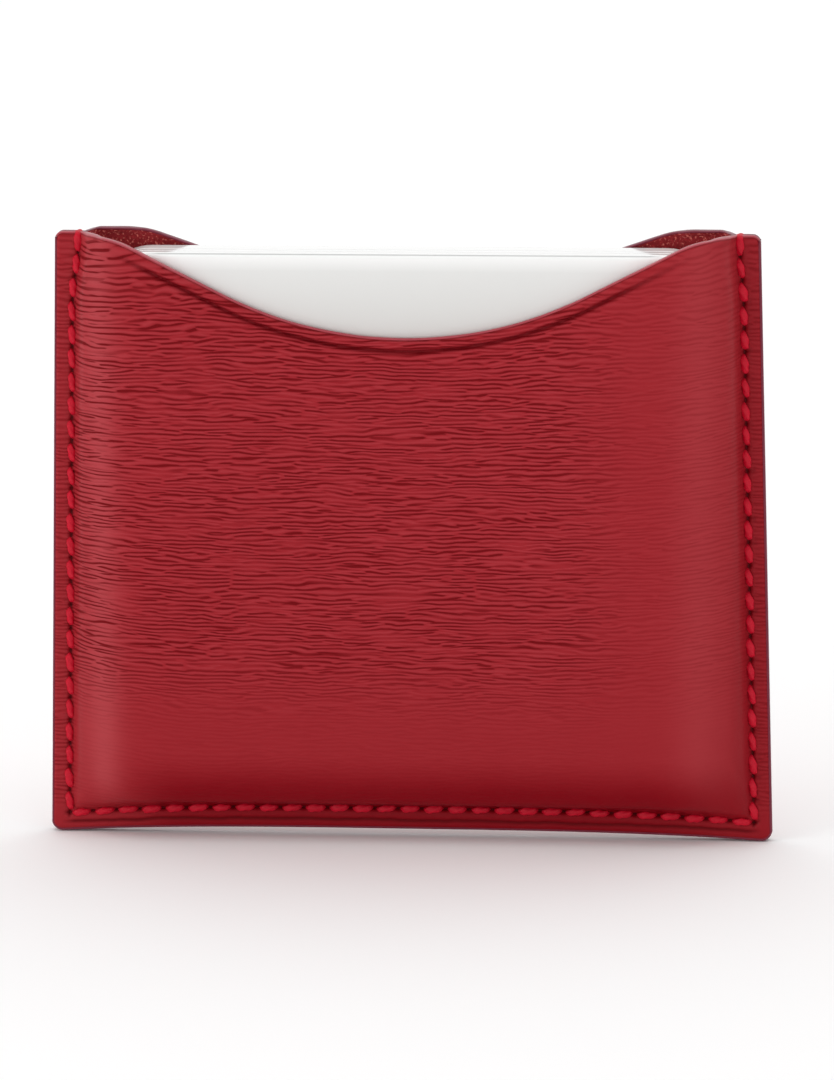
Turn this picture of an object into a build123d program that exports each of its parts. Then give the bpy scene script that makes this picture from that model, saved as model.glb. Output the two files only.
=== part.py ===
from build123d import *
import math
import os

# Card holder: a stitched leather slip sleeve round a rigid two-shell card case that slides out of its mouth.
# Millimetres. +Z points at the mouth, +X to the right, the front panel faces -Y, and the origin is at
# the middle of the bottom edge. Sketches lie on Plane.XZ, whose positive side is the front (-Y).

os.makedirs("parts", exist_ok=True)

# Sleeve outline: two flat-cut panels, a little wider at the bottom than at the mouth
SLEEVE_HEIGHT = 87.0
SLEEVE_WIDTH_BOTTOM = 103.7
SLEEVE_WIDTH_TOP = 99.5
SLEEVE_CORNER_RADIUS = 1.6
LEATHER = 1.2

# Edge finish: a thin coat on the mouth lines, and a crowned bead round the sewn edges
MOUTH_COAT = 0.25
EDGE_BEAD = 0.6
BEAD_FLAT = 0.4
BEAD_DROP = 0.35

# Mouth lines: a shallow arc, straight flanks at the given slope, and a rounded run-out to the top edge
FRONT_MOUTH_HALF = 45.3
FRONT_MOUTH_SLOPE = 27.1
FRONT_MOUTH_RADIUS = 56.5
BACK_MOUTH_HALF = 40.6
BACK_MOUTH_SLOPE = 19.0
BACK_MOUTH_RADIUS = 72.0
MOUTH_RUNOUT_RADIUS = 16.0

# Rigid case: outline, and its three layers from back to front
CASE_WIDTH = 88.4
CASE_HEIGHT = 78.9
CASE_CORNER_RADIUS = 7.7
CASE_EDGE_RADIUS = 0.8
CASE_BOTTOM = 5.6
BACK_SHELL = 4.2
MIDDLE_FRAME = 2.0
FRONT_SHELL = 2.4
SHELL_WALL = 0.9
SHELL_FLOOR = 1.2
PARTING_CHAMFER = 0.25

# Inside of the case: a well for ID-1 cards, kept by two ribs, and four locating posts
CARD_WELL_WIDTH = 86.6
CARD_WELL_HEIGHT = 56.0
RIB_THICKNESS = 1.0
RIB_LENGTH = 78.0
POST_RADIUS = 1.5
POST_X = 36.0
POST_Z = 34.0
POST_CLEARANCE = 0.05
BOSS_RADIUS = 2.6

# Pocket that the panels form round the case
CASE_CLEARANCE = 0.3
POCKET_TAPER = 8.0
POCKET_EDGE_RADIUS = 0.9

# Saddle stitching
SEAM_INSET = 2.6
STITCH_PITCH = 3.37
STITCH_LENGTH = 2.55
STITCH_WIDTH = 0.85
STITCH_HEIGHT = 0.42
STITCH_ROUND = 0.25
STITCH_SLANT = 5.0
THREAD_LEG_RADIUS = 0.3
AWL_HOLE_RADIUS = 0.36
LOOP_DROP = 2.7

# Derived
CASE_THICKNESS = BACK_SHELL + MIDDLE_FRAME + FRONT_SHELL
CASE_BACK = CASE_THICKNESS / 2
FRAME_BACK = CASE_BACK - BACK_SHELL
FRAME_FRONT = FRAME_BACK - MIDDLE_FRAME
CASE_FRONT = -CASE_THICKNESS / 2
CASE_CENTRE = CASE_BOTTOM + CASE_HEIGHT / 2
POCKET_DEPTH = CASE_THICKNESS / 2 + CASE_CLEARANCE
TAPER_SLOPE = math.tan(math.radians(POCKET_TAPER))
POCKET_FLARE = CASE_CLEARANCE + (CASE_THICKNESS / 2 - CASE_EDGE_RADIUS) * TAPER_SLOPE
TRIM = 20.0


def side_half(z):
    """Half width of the sleeve at height z."""
    lean = (SLEEVE_WIDTH_BOTTOM - SLEEVE_WIDTH_TOP) / 2 / SLEEVE_HEIGHT
    return SLEEVE_WIDTH_BOTTOM / 2 - lean * z


def layer(face, y_front, y_back):
    """Solid between two depths, from a face drawn on Plane.XZ."""
    return extrude(Pos(0, y_back, 0) * face, y_back - y_front)


def sleeve_face(inset):
    """Panel outline, pulled in from the sewn edges and left long at the mouth."""
    top = SLEEVE_HEIGHT + TRIM
    corners = [
        (-side_half(inset) + inset, inset),
        (side_half(inset) - inset, inset),
        (side_half(top) - inset, top),
        (-side_half(top) + inset, top),
    ]
    face = make_face(Plane.XZ * Polyline(*corners, close=True))
    return fillet(face.vertices().group_by(Axis.Z)[0], SLEEVE_CORNER_RADIUS - inset)


def mouth_cutter(half, slope, radius, drop):
    """Everything above a mouth line that sits drop below the sleeve's top."""
    angle = math.radians(slope)
    flank = (half - (radius + MOUTH_RUNOUT_RADIUS) * math.sin(angle)) / math.cos(angle)
    top = SLEEVE_HEIGHT - drop
    left_run = JernArc((-half, top), (1, 0), MOUTH_RUNOUT_RADIUS, -slope)
    left_flank = Line(left_run @ 1, left_run @ 1 + (left_run % 1) * flank)
    bowl = JernArc(left_flank @ 1, left_flank % 1, radius, 2 * slope)
    right_flank = Line(bowl @ 1, bowl @ 1 + (bowl % 1) * flank)
    right_run = JernArc(right_flank @ 1, right_flank % 1, MOUTH_RUNOUT_RADIUS, -slope)
    frame = Polyline(right_run @ 1, (TRIM * 3, top), (TRIM * 3, top + 2 * TRIM), (-TRIM * 3, top + 2 * TRIM),
                     (-TRIM * 3, top), left_run @ 0)
    line = Curve() + [left_run, left_flank, bowl, right_flank, right_run, frame]
    return layer(Plane.XZ * make_face(line), -TRIM, TRIM)


def pocket_form(grow):
    """Tapered block round the case's front half; grow is the leather on it."""
    flare = POCKET_FLARE + grow / math.cos(math.radians(POCKET_TAPER))
    half = CASE_WIDTH / 2 + flare
    bottom = CASE_BOTTOM - flare
    top = SLEEVE_HEIGHT + TRIM
    width, height = 2 * half, top - bottom
    face = Plane.XZ * Pos(0, bottom + height / 2) * Rectangle(width, height)
    face = fillet(face.vertices().group_by(Axis.Z)[0], CASE_CORNER_RADIUS + flare)
    block = extrude(face, POCKET_DEPTH + grow, taper=POCKET_TAPER)
    rim = block.faces().sort_by(Axis.Y)[0].edges()
    return fillet(rim, POCKET_EDGE_RADIUS + grow)


def panel_blank():
    """Front panel before its mouth is cut: sewn flange and raised pocket, one leather thick."""
    flange = layer(sleeve_face(EDGE_BEAD), -LEATHER, 0)
    return flange + pocket_form(LEATHER) - pocket_form(0)


def seam_points(start, end):
    """Awl holes from start to end, as near the stitch pitch as a whole number allows."""
    run = Vector(*end) - Vector(*start)
    count = round(run.length / STITCH_PITCH)
    return [Vector(*start) + run * (i / count) for i in range(count + 1)]


def seam_lines():
    """Hole rows of the left, bottom and right seams."""
    top = SLEEVE_HEIGHT - LOOP_DROP
    side_top = side_half(top) - SEAM_INSET
    corner = side_half(SEAM_INSET) - SEAM_INSET
    left = seam_points((-side_top, 0, top), (-corner, 0, SEAM_INSET))
    bottom = seam_points((-corner, 0, SEAM_INSET), (corner, 0, SEAM_INSET))
    right = seam_points((side_top, 0, top), (corner, 0, SEAM_INSET))
    return {"left": left, "bottom": bottom, "right": right}


def awl_holes():
    """Every stitch hole, as one set of pins through both panels."""
    points = {tuple(round(v, 3) for v in tuple(p)) for row in seam_lines().values() for p in row}
    pin = Rot(90, 0, 0) * Cylinder(AWL_HOLE_RADIUS, 4 * LEATHER)
    return [Pos(*point) * pin for point in sorted(points)]


def stitch():
    """One stitch along X: a rounded bar on each face and a leg through the hole between them."""
    bar_face = Plane.XZ * Rot(0, 0, STITCH_SLANT) * SlotOverall(STITCH_LENGTH, STITCH_WIDTH)
    bar = layer(bar_face, -LEATHER - STITCH_HEIGHT, -LEATHER)
    bar = fillet(bar.faces().sort_by(Axis.Y)[0].edges(), STITCH_ROUND)
    leg = Rot(90, 0, 0) * Cylinder(THREAD_LEG_RADIUS, 2 * LEATHER + STITCH_HEIGHT)
    leg = Pos(-STITCH_PITCH / 2, 0, 0) * leg
    toe_face = Plane.XZ * Pos(-STITCH_PITCH / 2, 0) * Circle(THREAD_LEG_RADIUS)
    reach = Plane.XZ * Pos(-STITCH_LENGTH / 2, 0) * Rectangle(STITCH_PITCH - STITCH_LENGTH, 2 * THREAD_LEG_RADIUS)
    toe = layer(toe_face + reach, -LEATHER - STITCH_HEIGHT / 2, -LEATHER)
    front = bar + toe
    return front + mirror(front, Plane.XZ) + leg


def seam_thread(row, extra):
    """All the stitches of one seam, each from its hole to the next, with any extra loops."""
    pattern = stitch()
    pieces = list(extra)
    for here, there in zip(row, row[1:]):
        run = there - here
        middle = (here + there) * 0.5
        turn = math.degrees(math.atan2(run.Z, run.X))
        pieces.append(Pos(*middle) * Rot(0, -turn, 0) * pattern)
    return Compound(children=[piece.solid() for piece in pieces])


def top_loop(point):
    """Thread wrapped over the mouth end of a side seam."""
    reach = LEATHER + STITCH_HEIGHT
    top = SLEEVE_HEIGHT + STITCH_HEIGHT
    bottom = point.Z + THREAD_LEG_RADIUS + 0.2
    outer = Pos(point.X, 0, (top + bottom) / 2) * Box(STITCH_WIDTH, 2 * reach, top - bottom)
    outer = fillet(outer.edges().filter_by(Axis.X).group_by(Axis.Z)[-1], STITCH_ROUND)
    inner = Pos(point.X, 0, SLEEVE_HEIGHT - TRIM / 2) * Box(2 * STITCH_WIDTH, 2 * LEATHER, TRIM)
    return outer - inner


def case_face(inset):
    """Case outline, pulled in by inset."""
    width, height = CASE_WIDTH - 2 * inset, CASE_HEIGHT - 2 * inset
    return Plane.XZ * Pos(0, CASE_CENTRE) * RectangleRounded(width, height, CASE_CORNER_RADIUS - inset)


def post_places():
    """Centres of the four posts that locate the layers."""
    return [(x, CASE_CENTRE + z) for x in (-POST_X, POST_X) for z in (-POST_Z, POST_Z)]


def round_bar(x, z, radius, y_front, y_back):
    """Cylinder along Y."""
    return layer(Plane.XZ * Pos(x, z) * Circle(radius), y_front, y_back)


def case_shell(y_open, y_closed):
    """Tray with a rounded rim at its closed face and a fine chamfer at its parting face."""
    shell = layer(case_face(0), min(y_open, y_closed), max(y_open, y_closed))
    ends = sorted(shell.faces().filter_by(Axis.Y), key=lambda f: abs(f.center().Y - y_closed))
    shell = fillet(ends[0].edges(), CASE_EDGE_RADIUS)
    ends = sorted(shell.faces().filter_by(Axis.Y), key=lambda f: abs(f.center().Y - y_open))
    shell = chamfer(ends[0].edges(), PARTING_CHAMFER)
    y_floor = y_closed - math.copysign(SHELL_FLOOR, y_closed)
    return shell - layer(case_face(SHELL_WALL), min(y_open, y_floor), max(y_open, y_floor))


def case_back_shell():
    """Rear tray, with the card ribs and the locating posts."""
    shell = case_shell(FRAME_BACK, CASE_BACK)
    floor = CASE_BACK - SHELL_FLOOR
    for side in (-1, 1):
        z = CASE_CENTRE + side * (CARD_WELL_HEIGHT + RIB_THICKNESS) / 2
        rib = Plane.XZ * Pos(0, z) * Rectangle(RIB_LENGTH, RIB_THICKNESS)
        shell += layer(rib, FRAME_BACK, floor)
    tip = CASE_FRONT + SHELL_FLOOR + 2 * POST_CLEARANCE
    for x, z in post_places():
        shell += round_bar(x, z, POST_RADIUS, tip, floor)
    return shell


def case_middle_frame():
    """Band between the shells: the card well and the four post holes are cut through it."""
    band = layer(case_face(0), FRAME_FRONT, FRAME_BACK)
    band = chamfer(band.edges().group_by(Axis.Y)[0] + band.edges().group_by(Axis.Y)[-1], PARTING_CHAMFER)
    well = Plane.XZ * Pos(0, CASE_CENTRE) * RectangleRounded(CARD_WELL_WIDTH, CARD_WELL_HEIGHT, 1.0)
    band -= layer(well, FRAME_FRONT, FRAME_BACK)
    for x, z in post_places():
        band -= round_bar(x, z, POST_RADIUS + POST_CLEARANCE, FRAME_FRONT, FRAME_BACK)
    return band


def case_front_shell():
    """Front tray, with a socket for each post."""
    shell = case_shell(FRAME_FRONT, CASE_FRONT)
    floor = CASE_FRONT + SHELL_FLOOR
    for x, z in post_places():
        boss = round_bar(x, z, BOSS_RADIUS, floor, FRAME_FRONT)
        shell += boss - round_bar(x, z, POST_RADIUS + POST_CLEARANCE, floor, FRAME_FRONT)
    return shell


def side_edge_coat():
    """Burnished and painted bead on the cut edges, down both sides and along the bottom, crowned in section."""
    flat = BEAD_FLAT / 2
    lean = math.degrees(math.atan2(BEAD_DROP, LEATHER - flat))
    outline = sleeve_face(0)
    front = extrude(Pos(0, -flat, 0) * outline, LEATHER - flat, taper=lean)
    crowned = layer(outline, -flat, flat) + front + mirror(front, Plane.XZ)
    above = Pos(0, 0, SLEEVE_HEIGHT + TRIM) * Box(6 * TRIM, TRIM, 2 * TRIM)
    return crowned - layer(sleeve_face(EDGE_BEAD), -LEATHER, LEATHER) - above


def build():
    """Every node, by name."""
    front_blank = panel_blank()
    back_blank = mirror(front_blank, Plane.XZ)
    front_mouth = (FRONT_MOUTH_HALF, FRONT_MOUTH_SLOPE, FRONT_MOUTH_RADIUS)
    back_mouth = (BACK_MOUTH_HALF, BACK_MOUTH_SLOPE, BACK_MOUTH_RADIUS)
    holes = awl_holes()
    nodes = {}
    for side, blank, mouth in (("front", front_blank, front_mouth), ("back", back_blank, back_mouth)):
        leather_cut = mouth_cutter(*mouth, MOUTH_COAT)
        nodes[side + "_panel"] = blank - leather_cut - holes
        nodes[side + "_mouth_edge_coat"] = (blank & leather_cut) - mouth_cutter(*mouth, 0)
    nodes["side_edge_coat"] = side_edge_coat()
    for side, row in seam_lines().items():
        loops = [] if side == "bottom" else [top_loop(row[0])]
        nodes[side + "_seam_thread"] = seam_thread(row, loops)
    nodes["case_back_shell"] = case_back_shell()
    nodes["case_middle_frame"] = case_middle_frame()
    nodes["case_front_shell"] = case_front_shell()
    return nodes


for name, shape in build().items():
    export_step(shape, "parts/" + name + ".step")
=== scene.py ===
"""Card holder: a stitched red leather slip sleeve round a glossy white case, dressed on the CAD frame.

Shapes are worked out in millimetres in the CAD frame and scaled to metres when a mesh is made.
Each sleeve panel is one skin over (s, v): s runs across from the left edge to the right, v up from the
bottom edge to the mouth. Depths are measured outward from the seam plane, y = 0.
"""
import math

import bpy
import numpy as np
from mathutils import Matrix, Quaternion, Vector

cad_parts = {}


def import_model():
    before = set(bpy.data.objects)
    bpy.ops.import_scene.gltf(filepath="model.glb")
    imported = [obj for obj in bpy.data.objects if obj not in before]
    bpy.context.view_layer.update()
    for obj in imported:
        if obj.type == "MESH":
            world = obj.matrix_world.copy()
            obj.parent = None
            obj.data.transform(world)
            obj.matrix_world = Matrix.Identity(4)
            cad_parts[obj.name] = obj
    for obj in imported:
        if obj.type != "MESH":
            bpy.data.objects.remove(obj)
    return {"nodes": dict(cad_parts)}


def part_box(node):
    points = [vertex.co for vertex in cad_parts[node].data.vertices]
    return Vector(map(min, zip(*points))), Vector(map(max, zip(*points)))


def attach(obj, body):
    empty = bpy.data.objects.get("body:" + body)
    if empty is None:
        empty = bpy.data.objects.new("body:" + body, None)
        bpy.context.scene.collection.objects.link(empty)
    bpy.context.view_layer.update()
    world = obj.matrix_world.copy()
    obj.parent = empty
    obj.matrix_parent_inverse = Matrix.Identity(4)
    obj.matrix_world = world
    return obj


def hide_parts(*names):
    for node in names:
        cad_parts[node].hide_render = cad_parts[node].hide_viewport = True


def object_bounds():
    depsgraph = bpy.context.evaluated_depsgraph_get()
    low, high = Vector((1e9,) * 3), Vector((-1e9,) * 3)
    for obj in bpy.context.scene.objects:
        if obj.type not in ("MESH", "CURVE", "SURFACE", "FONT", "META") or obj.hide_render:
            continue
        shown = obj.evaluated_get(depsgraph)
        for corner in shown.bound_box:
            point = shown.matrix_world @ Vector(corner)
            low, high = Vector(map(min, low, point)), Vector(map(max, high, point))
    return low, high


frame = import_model()
CAD_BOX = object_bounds()
MM = 0.001


def box_mm(node):
    """Lowest and highest corner of a CAD node, in millimetres."""
    low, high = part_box(node)
    return np.array(low) / MM, np.array(high) / MM


SIDE_HIGH = box_mm("side_edge_coat")[1]
RIM_HIGH = box_mm("front_mouth_edge_coat")[1]
SHELL_LOW, SHELL_HIGH = box_mm("case_front_shell")

# Sleeve outline: the leather stops short of the CAD outline by the painted bead on its edges. CORNER is
# the radius of the bottom corners. The bottom edge and its seam are lifted in the middle.
BEAD = 0.3
COAT = 0.25
TOP = SIDE_HIGH[2] - COAT
HALF_BOTTOM = SIDE_HIGH[0] - BEAD
HALF_TOP = RIM_HIGH[0] + BEAD
CORNER = 1.4
BOTTOM_LIFT = 1.05
SEAM_LIFT = 1.50
LEATHER = 1.2

# Mouth lines, as half width, slope of the flanks and radius of the bowl. RUNOUT is the radius that turns
# a flank out to the top edge, and the corners of the flanges are rounded.
FRONT_MOUTH = (45.3, 27.1, 56.5)
BACK_MOUTH = (40.6, 19.0, 72.0)
RUNOUT = 16.0
MOUTH_CORNER = 0.9
MOUTH_CORNER_DROP = 0.55

# Case outline and the pocket that the leather forms over it: how far it puffs off the case, how tightly
# it turns at the mouth and lower down, and the inset and depth at which the turn starts
CASE_HALF = SHELL_HIGH[0]
CASE_LOW = SHELL_LOW[2]
CASE_TOP = SHELL_HIGH[2]
CASE_FRONT = -SHELL_LOW[1]
CASE_RADIUS = 7.7
CASE_EDGE = 0.8
CASE_GAP = 0.12
PUFF = 1.58
TIGHT_TURN = 0.52
LOOSE_TURN = 3.4
TURN_START = 0.7
TURN_DEPTH = 5.0
FRONT_CORNER_EASE = 0.55
BACK_CORNER_EASE = 0.0

# Rim: raised lip, creased line below it, and how far its ends gape
LIP_RAISE = 0.15
LIP_CREASE = 0.44
CREASE_BELOW = 1.55
GAPE = 0.60

# Sewn edges: crease along the bottom edge, and the channel that the thread lies in
BOTTOM_CREASE = 1.05
BOTTOM_CREASE_DEPTH = 0.16
SEAM_FOOT = 0.45
SEAM_CHANNEL = 0.20
HOLE_DEPTH = 0.5
PULL_DEPTH = 0.10

# Stitching: where the seams run, how the side seams are drawn in at the mouth, and the thread itself
SEAM_INSET = 2.3
BOTTOM_INSET = 2.55
SEAM_CORNER = 0.5
SEAM_DRAW_LEFT = 0.85
SEAM_DRAW_RIGHT = 0.40
PITCH = 3.37
LOOP_DROP = 2.7
THREAD_HALF_WIDTH = 0.56
THREAD_HALF_HEIGHT = 0.34
THREAD_AROUND = 18
PLIES = 3
PLY_TWIST = 1.3
STITCH_REACH = 1.36
SIDE_SLANT = 0.17
BOTTOM_SLANT = 0.09
FAT_STITCH = 1.3

# Panel mesh: the rows by the bottom seam are finer, and the flesh side keeps only some of the rows
REFINE = 3
LOW_REACH = 5.2
LOW_ROWS = 34
LOW_FLESH_STEP = 4
FLESH_STEP = 6

# Sections of the painted edges: (across in half thicknesses, up) and (outward, across)
MOUTH_SECTION = [(-0.98, -0.10), (-1.03, -0.02), (-1.00, 0.07), (-0.80, 0.17), (-0.38, 0.23), (0.0, 0.25),
                 (0.38, 0.23), (0.80, 0.17), (1.00, 0.07), (1.03, -0.02), (0.98, -0.10)]
SIDE_SECTION = [(-0.22, -1.10), (-0.04, -1.12), (0.10, -1.04), (0.21, -0.84), (0.28, -0.48), (0.27, -0.16),
                (0.235, 0.0), (0.27, 0.16), (0.28, 0.48), (0.21, 0.84), (0.10, 1.04), (-0.04, 1.12),
                (-0.22, 1.10), (-0.3, 0.0)]

# Colours
LEATHER_RED = (0.335, 0.0170, 0.0240, 1)
# LEATHER_RIDGE_HIGHLIGHT: painted highlight on the ridges between the furrows.
LEATHER_RIDGE_HIGHLIGHT = (0.445, 0.0440, 0.0550, 1)
# LEATHER_EDGE_HIGHLIGHT: painted highlight where the hide turns over the case's side edges.
LEATHER_EDGE_HIGHLIGHT = (0.420, 0.0470, 0.0560, 1)
# LEATHER_FURROW_SHADE: painted shade in the furrows of the grain.
LEATHER_FURROW_SHADE = (0.165, 0.0010, 0.0035, 1)
# LEATHER_SHADE_AND_MOTTLE: painted shade above the bottom seam and along the right seam, also used for the
# random mottling.
LEATHER_SHADE_AND_MOTTLE = (0.235, 0.0008, 0.0062, 1)
# LEATHER_CREASE_SHADE: painted shade in the creases, along the rim's front edge and in the strain lines above
# the bottom seam.
LEATHER_CREASE_SHADE = (0.125, 0.0008, 0.0030, 1)
# LEATHER_HOLE_SHADE: painted shade in the awl holes.
LEATHER_HOLE_SHADE = (0.060, 0.0008, 0.0020, 1)
SUEDE_DARK = (0.185, 0.007, 0.012, 1)
SUEDE_LIGHT = (0.520, 0.040, 0.046, 1)
SUEDE_SPECK = (0.780, 0.200, 0.165, 1)
SIDE_PAINT = ((0.130, 0.010, 0.026, 1), (0.230, 0.024, 0.050, 1))
# RIM_PAINT_LIT is a lighter copy of the edge paint on the front mouth edge: a painted highlight.
RIM_PAINT_LIT = ((0.330, 0.030, 0.046, 1), (0.460, 0.070, 0.090, 1))
THREAD_DARK = (0.40, 0.001, 0.012, 1)
THREAD_LIGHT = (0.80, 0.006, 0.036, 1)
# Case colours: painted shade low on its front, lighter higher up, and painted light on its top face.
CASE_LOWER_SHADED = (0.69, 0.68, 0.66, 1)
CASE_UPPER_LIT = (0.79, 0.79, 0.775, 1)
CASE_TOP_LIT = (0.97, 0.97, 0.96, 1)
# CASE_LINE_SHADOW: painted shadow line along the front of the case's top.
CASE_LINE_SHADOW = (0.30, 0.30, 0.30, 1)
FLOOR_DARK = (0.95, 0.95, 0.95, 1)
FLOOR_LIGHT = (0.97, 0.97, 0.97, 1)

# Painted shadow line along the front of the case's top: its height and its half thickness
CASE_LINE_HEIGHT = CASE_TOP - 0.16
CASE_LINE_REACH = 0.15

# Spacing of the hide's fine furrows
FURROW_PITCH = 0.62

# Stage, in metres and degrees
FLOOR_SIZE = 2.6
ROOM_LEVEL = 0.54
HORIZON_LEVEL = 1.02
CAMERA_AZIMUTH = 5.4
CAMERA_ELEVATION = 11.0
CAMERA_DISTANCE = 0.8085
CAMERA_LENS = 190.0
CAMERA_ROLL = -0.4
CAMERA_OFFSET = (0.0012, 0, -0.0007)


# ---------------------------------------------------------------- shaping helpers

def unit(vectors):
    """Vectors scaled to length 1."""
    return vectors / np.linalg.norm(vectors, axis=-1, keepdims=True)


def smooth_step(value, start, end):
    """0 at start, 1 at end, eased between."""
    t = np.clip((value - start) / (end - start), 0, 1)
    return t * t * (3 - 2 * t)


def hermite(t, start_slope, end_slope):
    """Ease from 0 to 1 with the given slopes at the ends."""
    t = np.clip(t, 0, 1)
    return 3 * t ** 2 - 2 * t ** 3 + end_slope * (t ** 3 - t ** 2) + start_slope * (t ** 3 - 2 * t ** 2 + t)


def dent(distance, width):
    """1 on a line, falling to 0 a few widths away from it."""
    return np.exp(-(distance / width) ** 2)


def steps(stops, spacings):
    """Positions from stop to stop at about the given spacings."""
    out = [np.array([stops[0]])]
    for a, b, gap in zip(stops, stops[1:], spacings):
        count = max(1, round(abs(b - a) / gap))
        out.append(np.linspace(a, b, count + 1)[1:])
    return np.concatenate(out)


def noise(x, z, seed):
    """Smooth value noise about 1 unit across, from -1 to 1."""
    grid = np.random.default_rng(seed).uniform(-1, 1, (256, 256))
    ix, iz = np.floor(x).astype(int), np.floor(z).astype(int)
    fx, fz = x - ix, z - iz
    fx, fz = fx * fx * (3 - 2 * fx), fz * fz * (3 - 2 * fz)
    a, b = grid[ix % 256, iz % 256], grid[(ix + 1) % 256, iz % 256]
    c, d = grid[ix % 256, (iz + 1) % 256], grid[(ix + 1) % 256, (iz + 1) % 256]
    return (a * (1 - fx) + b * fx) * (1 - fz) + (c * (1 - fx) + d * fx) * fz


def waver(x, seed):
    """Noise along a line, from -1 to 1."""
    return noise(x, x * 0, seed)


# ---------------------------------------------------------------- sleeve shape

def half_width(z):
    """Half width of the sleeve at height z."""
    return HALF_BOTTOM + (HALF_TOP - HALF_BOTTOM) * z / TOP


def drawn_up(x):
    """How far the bottom is drawn up, from 1 in the middle to 0 at the corners."""
    return 1 - np.clip(np.abs(x) / HALF_BOTTOM, 0, 1) ** 3.2


def bottom_line(x):
    """Height of the bottom edge: drawn up in the middle, down to the table at rounded corners."""
    into_corner = np.clip(np.abs(x) - (HALF_BOTTOM - CORNER), 0, CORNER)
    return BEAD + BOTTOM_LIFT * drawn_up(x) + CORNER - np.sqrt(CORNER ** 2 - into_corner ** 2)


def mouth_line(x, mouth):
    """Height of a mouth line: bowl, straight flanks and rounded run-outs to the top edge."""
    half, slope, bowl = mouth
    a = math.radians(slope)
    ax = np.abs(x)
    flank = (half - (bowl + RUNOUT) * math.sin(a)) / math.cos(a)
    low = TOP - (bowl + RUNOUT) * (1 - math.cos(a)) - flank * math.sin(a)
    bowl_end = bowl * math.sin(a)
    run_start = half - RUNOUT * math.sin(a)
    in_bowl = low + bowl - np.sqrt(bowl ** 2 - np.minimum(ax, bowl_end) ** 2)
    on_flank = low + bowl * (1 - math.cos(a)) + (ax - bowl_end) * math.tan(a)
    on_run = TOP - RUNOUT + np.sqrt(RUNOUT ** 2 - np.clip(half - ax, 0, RUNOUT) ** 2)
    into_corner = np.clip(ax - HALF_TOP + MOUTH_CORNER, 0, MOUTH_CORNER) / MOUTH_CORNER
    corner = TOP - MOUTH_CORNER_DROP * into_corner ** 2.5
    return np.select([ax < bowl_end, ax < run_start, ax < half], [in_bowl, on_flank, on_run], corner)


def case_inset(x, z, ease=1.0):
    """Distance inside the case's outline; negative outside it. Straight above the case counts as inside,
    and so does the space beside its top corners when ease is 0."""
    qx = np.abs(x) - (CASE_HALF - CASE_RADIUS)
    qz = CASE_LOW + CASE_RADIUS - z
    over = (z - (CASE_TOP - CASE_RADIUS)) * smooth_step(np.abs(x), CASE_HALF - CASE_RADIUS - 4, CASE_HALF - 3)
    over *= ease
    outside = np.hypot(np.maximum(qx, 0), np.maximum(np.maximum(qz, over), 0))
    return CASE_RADIUS - outside - np.minimum(np.maximum(qx, qz), 0)


def seam_draw(x, z):
    """How far the side seams are drawn in towards the mouth, more on the left than on the right."""
    return np.where(x < 0, SEAM_DRAW_LEFT, SEAM_DRAW_RIGHT) * smooth_step(z, TOP - 9.5, TOP - 1.5)


def seam_inset(x, z):
    """Distance inside the line of stitches; negative between it and the cut edge."""
    side = half_width(z) - SEAM_INSET - seam_draw(x, z) - np.abs(x)
    bottom = z - BOTTOM_INSET - SEAM_LIFT * drawn_up(x)
    return -SEAM_CORNER * np.logaddexp(-side / SEAM_CORNER, -bottom / SEAM_CORNER)


def edge_inset(x, z):
    """Distance from the sewn edges."""
    side = half_width(z) - np.abs(x)
    return np.minimum(side, z - bottom_line(x))


# ---------------------------------------------------------------- panel skins

def formed_depth(x, z, below, ease):
    """Depth of the hide as it climbs from the seam, turns over the case's edge and lies over its face. It
    stands a little off the case, as a filled pocket does, and lies on it again at the mouth."""
    inset = case_inset(x, z, ease)
    under = (1 - smooth_step(z, 7, 13)) * (1 - smooth_step(np.abs(x), 35, 44))
    start, start_depth = TURN_START - 0.55 * under, TURN_DEPTH - 0.9 * under
    loose = 1 - np.exp(-np.clip(below, 0, 99) / 7)
    top = CASE_FRONT + CASE_GAP + LEATHER + PUFF * loose
    turn = TIGHT_TURN + (LOOSE_TURN - TIGHT_TURN) * loose ** 0.8
    over = top - (top - start_depth) * np.exp(-np.maximum(inset + start, 0) / turn)
    run = np.maximum(seam_inset(x, z) - inset - start - SEAM_FOOT, 0.6)
    rise = start_depth - LEATHER
    end_slope = (top - start_depth) / turn * run / rise
    climb = hermite((seam_inset(x, z) - SEAM_FOOT) / run, 1.9 - 0.8 * under, end_slope)
    return np.where(inset > -start, over, LEATHER + rise * climb)


def below_rim(x, z, rim):
    """Distance below the mouth line, measured square to it."""
    slope = np.gradient(rim, axis=0) / np.maximum(np.gradient(x, axis=0), 1e-6)
    return (rim - z) / np.sqrt(1 + slope ** 2)


def lip_reach(x, mouth):
    """How far the lip is worked: fully along the bowl, fading out before the seams."""
    left = np.clip((mouth[0] - 4.0 + x) / 6, 0, 1)
    right = np.clip((mouth[0] - 4.0 - x) / 12, 0, 1)
    return np.minimum(left, right)


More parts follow.
